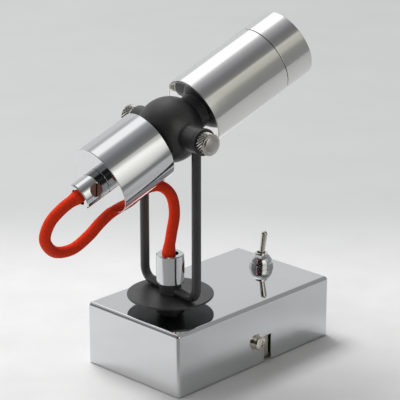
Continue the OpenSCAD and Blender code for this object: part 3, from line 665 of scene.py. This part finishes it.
def turned(name, corners, place, slot, body, node):
    return stand(name, spin(rounded(corners), ROUND_SEGMENTS), place, slot, body, [node])


# Head
TUBE_WALL = 1.3
TUBE_SEAM = 0.3
SPIGOT_WALL = 1.0
SPIGOT_ROOT = 6.0
BEZEL_WALL = 1.2
BEZEL_LIP = 1.4
BEZEL_OPENING_R = 14.5
CUP_WALL = 1.5
CUP_END = 2.5
STEM_HOLE_R = 4.05
WIRE_BORE_R = 4.0
RUNNING_GAP = 0.08


def front_tube():
    start, spigot_end, r = reach("front_tube", HEAD)
    end = reach("front_bezel", HEAD)[0] - TUBE_SEAM
    bore = r - TUBE_WALL
    spigot = r - BEZEL_WALL - RUNNING_GAP
    turned("polished_front_tube", [
        (bore, start, 0.15), (r, start, 0.35), (r, end, 0.2), (spigot, end, 0),
        (spigot, spigot_end, 0.2), (spigot - SPIGOT_WALL, spigot_end, 0.1),
        (spigot - SPIGOT_WALL, end - SPIGOT_ROOT, 0), (bore, end - SPIGOT_ROOT, 0),
    ], HEAD, "turned_aluminium", "head", "front_tube")


def tube_end():
    """The flat polished flange that closes the tube and mirrors the ball."""
    start, end, r = reach("front_flange", HEAD)
    piece = turned("polished_tube_end", [
        (WIRE_BORE_R, start, 0), (r, start, 0.05), (r, end, 0.2), (WIRE_BORE_R, end, 0),
    ], HEAD, "turned_aluminium", "head", "front_flange")
    piece.data.materials[0] = LAPPED_ALUMINIUM


def front_bezel():
    start, end, r = reach("front_bezel", HEAD)
    bore = r - BEZEL_WALL
    turned("polished_front_bezel", [
        (bore, start, 0.1), (r, start, 0.2), (r, end, 0.45), (BEZEL_OPENING_R, end, 0.35),
        (BEZEL_OPENING_R, end - BEZEL_LIP, 0.1), (bore, end - BEZEL_LIP, 0),
    ], HEAD, "turned_aluminium", "bezel", "front_bezel")


def rear_cup():
    rear, front, r = reach("rear_cup", HEAD)
    bore = r - CUP_WALL
    turned("mirror_rear_cup", [
        (bore, front, 0.15), (r, front, 0.3), (r, rear, 0.35), (STEM_HOLE_R, rear, 0),
        (STEM_HOLE_R, rear + CUP_END, 0), (bore, rear + CUP_END, 0),
    ], HEAD, "chrome", "head", "rear_cup")


FACETS_ROUND = 32
FACET_ROWS = 9
REFLECTOR_THROAT_R = 5.5
REFLECTOR_WALL = 0.8
REFLECTOR_CURVE = 0.65


def faceted_reflector():
    """A parabolic bowl of flat facets, open at its throat."""
    start, end, r = reach("reflector", HEAD)
    mouth = r - REFLECTOR_WALL
    inside = []
    for row in range(FACET_ROWS + 1):
        share = row / FACET_ROWS
        radius = REFLECTOR_THROAT_R + (mouth - REFLECTOR_THROAT_R) * share ** REFLECTOR_CURVE
        inside.append((radius, start + (end - start) * share))
    outside = [(radius + REFLECTOR_WALL, height) for radius, height in reversed(inside)]
    bowl = spin(inside + outside, FACETS_ROUND)
    stand("faceted_reflector", bowl, HEAD, "mirror", "head", ["reflector"], smooth=False)


def front_glass():
    start, end, r = reach("front_glass", HEAD)
    turned("clear_front_glass", [(0, start, 0), (r, start, 0.3), (r, end, 0.4), (0, end, 0)],
           HEAD, "glass", "glass", "front_glass")


# Yoke and swivel
STEM_FIT_R = 4.05
PIVOT_FIT_R = 2.08
BOSS_RING_H = 3.5
BOSS_NECK_R = 5.5


def swivel_boss():
    low, top, r = reach("swivel_boss", SWIVEL)
    step = low + BOSS_RING_H
    high = top - RUNNING_GAP
    turned("coated_boss", [
        (STEM_FIT_R, low, 0), (r, low, 0.1), (r, step, 0.4), (BOSS_NECK_R, step, 0.2),
        (BOSS_NECK_R, high, 0), (STEM_FIT_R, high, 0),
    ], SWIVEL, "black_coat", "base", "swivel_boss")


def swivel_rings():
    for name, node, lower_edge, upper_edge in (
        ("coated_disc", "swivel_disc", 0.45, 0.3),
        ("coated_hub", "yoke_hub", 0.2, 0.4),
    ):
        low, high, r = reach(node, SWIVEL)
        turned(name, [
            (STEM_FIT_R, low, 0), (r, low, lower_edge), (r, high, upper_edge), (STEM_FIT_R, high, 0),
        ], SWIVEL, "black_coat", "yoke", node)


def eyes_and_spacers():
    for side, place in SIDES.items():
        for kind, body, edge in (("yoke_eye", "yoke", 0.5), ("spacer", f"spacer_{side}", 0.35)):
            node = f"{kind}_{side}"
            low, high, r = reach(node, place)
            turned(f"round_{node}", [
                (PIVOT_FIT_R, low, 0.1), (r, low, edge), (r, high, edge), (PIVOT_FIT_R, high, 0.1),
            ], place, SLOTS[node], body, node)


# Thumbscrews: shank, knurled barrel and domed button
SHANK_R = 2.0
SHANK_EDGE = 0.4
HEAD_GAP = 0.1
BARREL_L = 5.0
BARREL_EDGE = 0.3
BARREL_TOLERANCE = 0.01
BUTTON_R = 4.1
BUTTON_T = 0.8
BUTTON_EDGE = 0.6
BUTTON_DOME = 0.4
RIM_STEPS = 4
BUTTON_STEPS = 6
KNURLS_ROUND = 20
KNURL_STEP = 2.0
KNURL_DEPTH = 0.5
KNURL_ROWS = 32
STEPS_PER_KNURL = 10
CROSS_CUT_FLOOR, CROSS_CUT_RISE = 0.6, 1.2
GROOVE_MIDDLE, GROOVE_HALF = 0.8, 0.2


def ridge(phase):
    """Up from 0 to 1 and down again, once for each whole number."""
    return 1 - abs(2 * (phase - math.floor(phase)) - 1)


def thumbscrew(side):
    node = f"thumbscrew_{side}"
    place = SIDES[side]
    tip, _, r = reach(node, place)
    start = reach(f"spacer_{side}", place)[1] + HEAD_GAP
    barrel_end = start + BARREL_L
    button_end = barrel_end + BUTTON_T
    knurl_start = start + BARREL_EDGE
    knurl_l = BARREL_L - 2 * BARREL_EDGE

    def knurled(radius, height, angle):
        share = (height - knurl_start) / knurl_l
        if radius < r - BARREL_TOLERANCE or not 0 <= share <= 1:
            return radius, height
        turn = KNURLS_ROUND * angle / (2 * math.pi)
        climb = (height - knurl_start) / KNURL_STEP
        tooth = min(ridge(turn + climb), CROSS_CUT_FLOOR + CROSS_CUT_RISE * ridge(turn - climb))
        return radius - KNURL_DEPTH * (1 - tooth), height

    shank = rounded([
        (0, tip, 0), (SHANK_R, tip, SHANK_EDGE), (SHANK_R, start, 0),
        (r - BARREL_EDGE, start, 0), (0, start, 0),
    ])[:-1]
    knurl = [(r, knurl_start + knurl_l * row / KNURL_ROWS) for row in range(KNURL_ROWS + 1)]
    shoulder = [(r - BARREL_EDGE, barrel_end), (BUTTON_R, barrel_end)]
    flat = BUTTON_R - BUTTON_EDGE
    rim = quarter_round(BUTTON_R, button_end, BUTTON_EDGE, RIM_STEPS)
    dome = crown(flat, button_end + BUTTON_DOME, BUTTON_DOME, BUTTON_STEPS)
    screw = spin(shank + knurl + shoulder + rim + dome, STEPS_PER_KNURL * KNURLS_ROUND, knurled)
    piece = stand(f"knurled_{node}", screw, place, "nickel", node, [node])
    on_button, in_groove, on_rim = 1, 2, 3
    for finish in (SATIN_NICKEL, SHADED_NICKEL, POLISHED_NICKEL):
        piece.data.materials.append(finish)
    # The knurls' grooves get the dark shaded nickel, which carries painted shade.
    for face in piece.data.polygons:
        out = face.center.xy.length / MM
        if face.center.z > barrel_end * MM:
            face.material_index = on_rim if out > flat else on_button
        elif abs(out - (r - GROOVE_MIDDLE * KNURL_DEPTH)) < GROOVE_HALF * KNURL_DEPTH:
            face.material_index = in_groove


# Switch
DOME_BORE_R = 3.25
DOME_SKIRT = 1.6
DOME_STEP = 0.25
DOME_STEPS = 24


def dome_nut():
    """Low skirt, a step in, then the dome up to the bushing."""
    low, _, skirt_r = reach("switch_dome_nut", SWITCH)
    seat = low + DOME_SKIRT
    r = skirt_r - DOME_STEP
    skirt = rounded([(DOME_BORE_R, low, 0), (skirt_r, low, 0.15), (skirt_r, seat, 0.1), (r, seat, 0),
                     (DOME_BORE_R, seat, 0)])[:-1]
    last = math.acos(DOME_BORE_R / r)
    dome = []
    for step in range(1, DOME_STEPS + 1):
        angle = last * step / DOME_STEPS
        dome.append((r * math.cos(angle), seat + r * math.sin(angle)))
    nut = spin(skirt + dome, ROUND_SEGMENTS)
    stand("mirror_dome_nut", nut, SWITCH, "chrome", "base", ["switch_dome_nut"])


# Screws: round heads with a driven recess worked into their tops
COVER_HEAD_R = 3.6
COVER_HEAD_H = 2.4
COVER_HEAD_EDGE = 0.8
COVER_HEAD_DOME = 0.45
COVER_SHANK_R = 2.0
COVER_SHANK_L = 6.0
RECESS_L = 4.2
RECESS_W = 0.95
RECESS_DEPTH = 1.3
RECESS_SOFT = 0.22
RECESS_END_SOFT = 0.66
RECESS_TURN = math.radians(28)
EDGE_STEPS = 8
TOP_STEPS = 34


def cross_recess(radius, height, angle):
    if height < COVER_HEAD_H - COVER_HEAD_EDGE:
        return radius, height
    x, y = radius * math.cos(angle + RECESS_TURN), radius * math.sin(angle + RECESS_TURN)
    arms = [
        step_up(RECESS_W / 2 - abs(v), RECESS_SOFT) * step_up(RECESS_L / 2 - abs(u), RECESS_END_SOFT)
        for u, v in ((x, y), (y, x))
    ]
    return radius, height - RECESS_DEPTH * max(arms)


def cover_screws():
    lows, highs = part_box("cover_screws")
    middle = (lows + highs) / 2
    outline = [(0, -COVER_SHANK_L), (COVER_SHANK_R, -COVER_SHANK_L), (COVER_SHANK_R, 0), (COVER_HEAD_R, 0)]
    outline += quarter_round(COVER_HEAD_R, COVER_HEAD_H - COVER_HEAD_DOME, COVER_HEAD_EDGE, EDGE_STEPS)
    outline += crown(COVER_HEAD_R - COVER_HEAD_EDGE, COVER_HEAD_H, COVER_HEAD_DOME, TOP_STEPS)
    both = bmesh.new()
    for side, edge in ((-1, lows.y), (1, highs.y)):
        seat = Vector((middle.x, edge - side * COVER_HEAD_H * MM, middle.z))
        screw = spin(outline, ROUND_SEGMENTS, cross_recess)
        bmesh.ops.transform(screw, matrix=axis_frame(seat, (0, side, 0), UP), verts=screw.verts)
        mesh = bpy.data.meshes.new("one_screw")
        screw.to_mesh(mesh)
        screw.free()
        both.from_mesh(mesh)
        bpy.data.meshes.remove(mesh)
    stand("pan_head_screws", both, Matrix.Identity(4), "nickel", "base", ["cover_screws"])


# Studio
FLOOR_DROP = 0.0006
FLOOR_FRONT_Y = -0.5
FLOOR_REACH = 3.0
PALE = (0.86, 0.86, 0.855)
BACKDROP = (0.635, 0.64, 0.64, 1.0)
AWAY_FROM_CAMERA = Vector((0.718, 0.696, 0.0))
FADE_START, FADE_END = 0.05, 0.21
BACKDROP_SIDEWAYS = (-0.14, 0.14)
BACKDROP_AWAY = (0.15, 0.75)
BACKDROP_LIGHT, BACKDROP_DARK = 1.03, 0.97
TO_PHOTO_RIGHT = Vector((0.696, -0.718, 0.0))
# Painted shade on the paper, seen only in reflections and bounced light: darker to the right and to the front.
DIM_RIGHT = (0.055, 0.105)
DIM_RIGHT_LEVEL = 0.74
TO_DARK_FRONT = Vector((-0.780, -0.627, 0.0))
DARK_FRONT = (0.075, 0.120)
DARK_FRONT_LEVEL = 0.45


def paper_floor():
    """Pale paper that fades into the plain backdrop behind the lamp, with painted shade to the right and front
    where only reflections and bounced light see it.
    """
    mesh = bpy.data.meshes.new("paper_floor")
    corners = [(-FLOOR_REACH, FLOOR_FRONT_Y), (FLOOR_REACH, FLOOR_FRONT_Y),
               (FLOOR_REACH, FLOOR_REACH), (-FLOOR_REACH, FLOOR_REACH)]
    mesh.from_pydata([(x, y, -FLOOR_DROP) for x, y in corners], [], [(0, 1, 2, 3)])
    material, tree, shader = new_finish("pale_paper", Roughness=0.9, Specular_IOR_Level=0.2)
    where = add(tree, "TexCoord")
    path = add(tree, "LightPath")

    def along(direction):
        dot = add(tree, "VectorMath", {0: (where, "Object"), 1: direction}, operation="DOT_PRODUCT")
        return dot, "Value"

    def painted_dimming(direction, edges, level):
        return ramp(tree, rise(tree, along(direction), *edges), 1.0, level)

    def slope(direction, first, last):
        return ramp(tree, along(direction), BACKDROP_LIGHT, BACKDROP_DARK, first, last)

    drift = use_group(tree, DRIFT, {"Colour": (*PALE, 1.0), "Scale": 26.0, "Amount": 0.035})
    # Painted shade: rays other than the camera's see the paper darker to the right and to the front.
    painted_shade = product(tree, painted_dimming(TO_PHOTO_RIGHT, DIM_RIGHT, DIM_RIGHT_LEVEL),
                     painted_dimming(TO_DARK_FRONT, DARK_FRONT, DARK_FRONT_LEVEL))
    level = ramp(tree, (path, "Is Camera Ray"), painted_shade, 1.0)
    feed(tree, shader.inputs["Base Color"], scaled(tree, (drift, "Colour"), level))
    grained(tree, shader, 180.0, 0.12, 0.4)
    start = AIM.dot(AWAY_FROM_CAMERA)
    fade = product(tree, (path, "Is Camera Ray"),
                   rise(tree, along(AWAY_FROM_CAMERA), start + FADE_START, start + FADE_END))
    clouds = use_group(tree, DRIFT, {"Colour": BACKDROP, "Scale": 15.0, "Amount": 0.015})
    slopes = product(tree, slope(TO_PHOTO_RIGHT, *BACKDROP_SIDEWAYS),
                     slope(AWAY_FROM_CAMERA, *(start + edge for edge in BACKDROP_AWAY)))
    backdrop = add(tree, "Emission", {"Color": (clouds, "Colour"), "Strength": slopes})
    faded = add(tree, "MixShader", {0: fade, 1: (shader, 0), 2: (backdrop, 0)})
    feed(tree, tree.nodes["Material Output"].inputs["Surface"], (faded, 0))
    mesh.materials.append(material)
    sheet = bpy.data.objects.new("paper_floor", mesh)
    bpy.context.scene.collection.objects.link(sheet)


# What the metal mirrors, by the angle from the back horizon over the top to the front one
TENT_STOPS = [
    (0, (0.70, 0.705, 0.71)), (35, (0.72, 0.725, 0.73)), (41, (0.57, 0.57, 0.575)),
    (79, (0.62, 0.62, 0.625)), (85, (0.55, 0.55, 0.555)), (91, (0.41, 0.41, 0.42)),
    (97, (0.345, 0.345, 0.355)), (103, (0.275, 0.275, 0.285)), (108.5, (0.215, 0.215, 0.225)),
    (114, (0.195, 0.195, 0.20)), (120, (0.185, 0.185, 0.185)), (126, (0.205, 0.205, 0.20)),
    (132, (0.24, 0.24, 0.225)), (136.5, (0.65, 0.65, 0.595)), (141, (0.59, 0.59, 0.53)),
    (152, (0.53, 0.53, 0.47)), (157, (0.43, 0.43, 0.385)), (162, (0.32, 0.32, 0.295)),
    (167, (0.28, 0.28, 0.265)), (180, (0.26, 0.26, 0.255)),
]
SOFTBOX = (1.5, 1.5, 1.51)
SOFTBOX_AROUND = ((33, 43), (113, 103))
SOFTBOX_LOWER_EDGE, SOFTBOX_UPPER_EDGE = (27, 38), (80, 67)
SOFTBOX_CORNER = (66, 73)
CORNER_LIFT_LOWER, CORNER_LIFT_UPPER = 20, 8
CORNER_LEVEL = 0.8
DARK_RIGHT = (0.46, 0.58)
DARK_RIGHT_OVER = (30, 38)
DARK_RIGHT_TONE = (0.33, 0.33, 0.335, 1.0)
DARK_LEFT = (-0.25, -0.55)
DARK_LEFT_BACK, DARK_LEFT_FRONT = 0.30, 0.06
DARK_LEFT_TURN = (-0.1, 0.1)
AMBIENT = (1.0, 1.0, 1.01)
AMBIENT_FRONT, AMBIENT_BACK = 0.13, 1.16
AMBIENT_EDGE = (-0.35, 0.75)


def studio_tent():
    """Soft light from the back for matt surfaces, and the pale panels that the metal mirrors."""
    world = bpy.data.worlds.new("studio_tent")
    bpy.context.scene.world = world
    world.use_nodes = True
    world.cycles.sampling_method = "NONE"
    tree = world.node_tree
    where = add(tree, "TexCoord")
    parts = add(tree, "SeparateXYZ", {0: (where, "Generated")})
    height = calc(tree, "MAXIMUM", (parts, "Z"), 0.0)
    over = calc(tree, "ARCTAN2", height, (parts, "Y"))
    around = calc(tree, "ARCTAN2", (parts, "Y"), (parts, "X"))
    raised = calc(tree, "ARCSINE", (parts, "Z"))

    def rise_degrees(angle, edges):
        return rise(tree, angle, *map(math.radians, edges))

    tent = add(tree, "ValToRGB", {"Fac": ramp(tree, over, 0.0, 1.0, end=math.pi)})
    stops = tent.color_ramp.elements
    while len(stops) < len(TENT_STOPS):
        stops.new(1.0)
    for stop, (angle, colour) in zip(stops, TENT_STOPS):
        stop.position = angle / 180
        stop.color = (*colour, 1.0)
    left_level = ramp(tree, (parts, "Y"), DARK_LEFT_FRONT, DARK_LEFT_BACK, *DARK_LEFT_TURN)
    left = ramp(tree, rise(tree, (parts, "X"), *DARK_LEFT), 1.0, left_level)
    right = product(tree, rise(tree, (parts, "X"), *DARK_RIGHT), rise_degrees(over, DARK_RIGHT_OVER))
    shaded = blend_colours(tree, right, scaled(tree, (tent, "Color"), left), DARK_RIGHT_TONE)
    corner = rise_degrees(around, SOFTBOX_CORNER)

    def level_edge(edges, corner_lift):
        """One of the softbox's two level edges, which lies higher towards its corner."""
        lift = product(tree, corner, math.radians(corner_lift))
        return rise_degrees(calc(tree, "SUBTRACT", raised, lift), edges)

    softbox = product(
        tree, *(rise_degrees(around, edges) for edges in SOFTBOX_AROUND),
        level_edge(SOFTBOX_LOWER_EDGE, CORNER_LIFT_LOWER), level_edge(SOFTBOX_UPPER_EDGE, CORNER_LIFT_UPPER),
    )
    panel = scaled(tree, SOFTBOX, ramp(tree, corner, 1.0, CORNER_LEVEL))
    mirrored = blend_colours(tree, softbox, shaded, panel)
    light = ramp(tree, rise(tree, (parts, "Y"), *AMBIENT_EDGE), AMBIENT_FRONT, AMBIENT_BACK)
    path = add(tree, "LightPath")
    sharp = calc(tree, "MAXIMUM", (path, "Is Glossy Ray"), (path, "Is Transmission Ray"))
    lit = blend_colours(tree, sharp, scaled(tree, AMBIENT, light), mirrored)
    seen = blend_colours(tree, (path, "Is Camera Ray"), lit, BACKDROP)
    feed(tree, tree.nodes["Background"].inputs["Color"], seen)


LAMP = Vector((0.0, 0.0, 0.06))
KEY_AROUND, KEY_HEIGHT = math.radians(83), math.radians(60)
KEY_SIZE = (0.5, 0.36)
KEY_WATTS = 5.8
FILL_AROUND, FILL_HEIGHT = math.radians(205), math.radians(7)
FILL_SIZE = (0.5, 0.3)
FILL_WATTS = 1.6
LIGHT_DISTANCE = 1.0


def facing(place, aim):
    return (aim - place).to_track_quat("-Z", "Y").to_euler()


def soft_light(name, around, height, size, watts):
    """A soft panel of light on the matt surfaces; the metal mirrors the tent instead."""
    data = bpy.data.lights.new(name, "AREA")
    data.shape = "RECTANGLE"
    data.size, data.size_y = size
    data.energy = watts
    panel = bpy.data.objects.new(name, data)
    level = math.cos(height)
    panel.location = LAMP + LIGHT_DISTANCE * Vector(
        (level * math.cos(around), level * math.sin(around), math.sin(height))
    )
    panel.rotation_euler = facing(panel.location, LAMP)
    panel.visible_glossy = False
    bpy.context.scene.collection.objects.link(panel)


CARD_PLACE = Vector((-0.17, -0.60, 0.35))
CARD_AIM = Vector((-0.05, 0.0, 0.11))
CARD_LEFT, CARD_RIGHT = -0.25, 0.65
CARD_LOW, CARD_HIGH = -0.54, 0.28
CARD_SLANT = 0.55
CARD_SLANT_EDGE = (0.32, 0.24)
CARD_SOFT_LEFT, CARD_SOFT_LOW, CARD_SOFT_HIGH = 0.15, 0.14, 0.17
CARD_BRIGHT_FROM = 0.05
CARD_COLOUR = (1.0, 0.985, 0.94, 1.0)
CARD_DIM, CARD_BRIGHT = 0.35, 1.25


def side_card():
    """A soft-edged warm card that only the rear cup and its neighbours mirror."""
    mesh = bpy.data.meshes.new("side_card")
    corners = [(CARD_LEFT, CARD_LOW), (CARD_RIGHT, CARD_LOW), (CARD_RIGHT, CARD_HIGH), (CARD_LEFT, CARD_HIGH)]
    mesh.from_pydata([(x, y, 0) for x, y in corners], [], [(0, 1, 2, 3)])
    material = bpy.data.materials.new("warm_card")
    material.use_nodes = True
    tree = material.node_tree
    tree.nodes.remove(tree.nodes["Principled BSDF"])
    where = add(tree, "TexCoord")
    parts = add(tree, "SeparateXYZ", {0: (where, "Object")})
    slant = calc(tree, "MULTIPLY_ADD", (parts, "Y"), CARD_SLANT, (parts, "X"))
    soft = product(
        tree, rise(tree, slant, *CARD_SLANT_EDGE),
        rise(tree, (parts, "X"), CARD_LEFT, CARD_LEFT + CARD_SOFT_LEFT),
        rise(tree, (parts, "Y"), CARD_LOW, CARD_LOW + CARD_SOFT_LOW),
        rise(tree, (parts, "Y"), CARD_HIGH, CARD_HIGH - CARD_SOFT_HIGH),
    )
    level = ramp(tree, (parts, "Y"), CARD_DIM, CARD_BRIGHT, CARD_LOW, CARD_BRIGHT_FROM)
    glow = add(tree, "Emission", {"Color": CARD_COLOUR, "Strength": level})
    clear = add(tree, "BsdfTransparent")
    card = add(tree, "MixShader", {0: soft, 1: (clear, 0), 2: (glow, 0)})
    feed(tree, tree.nodes["Material Output"].inputs["Surface"], (card, 0))
    mesh.materials.append(material)
    panel = bpy.data.objects.new("side_card", mesh)
    panel.location = CARD_PLACE
    panel.rotation_euler = facing(CARD_PLACE, CARD_AIM)
    panel.visible_camera = False
    panel.visible_diffuse = False
    panel.visible_shadow = False
    bpy.context.scene.collection.objects.link(panel)


photo_camera()
braided_cable()
front_tube()
tube_end()
front_bezel()
rear_cup()
faceted_reflector()
front_glass()
swivel_boss()
swivel_rings()
eyes_and_spacers()
for side in SIDES:
    thumbscrew(side)
dome_nut()
cover_screws()
paper_floor()
studio_tent()
soft_light("key_softbox", KEY_AROUND, KEY_HEIGHT, KEY_SIZE, KEY_WATTS)
soft_light("fill_panel", FILL_AROUND, FILL_HEIGHT, FILL_SIZE, FILL_WATTS)
side_card()
bpy.context.scene.view_settings.view_transform = "Standard"
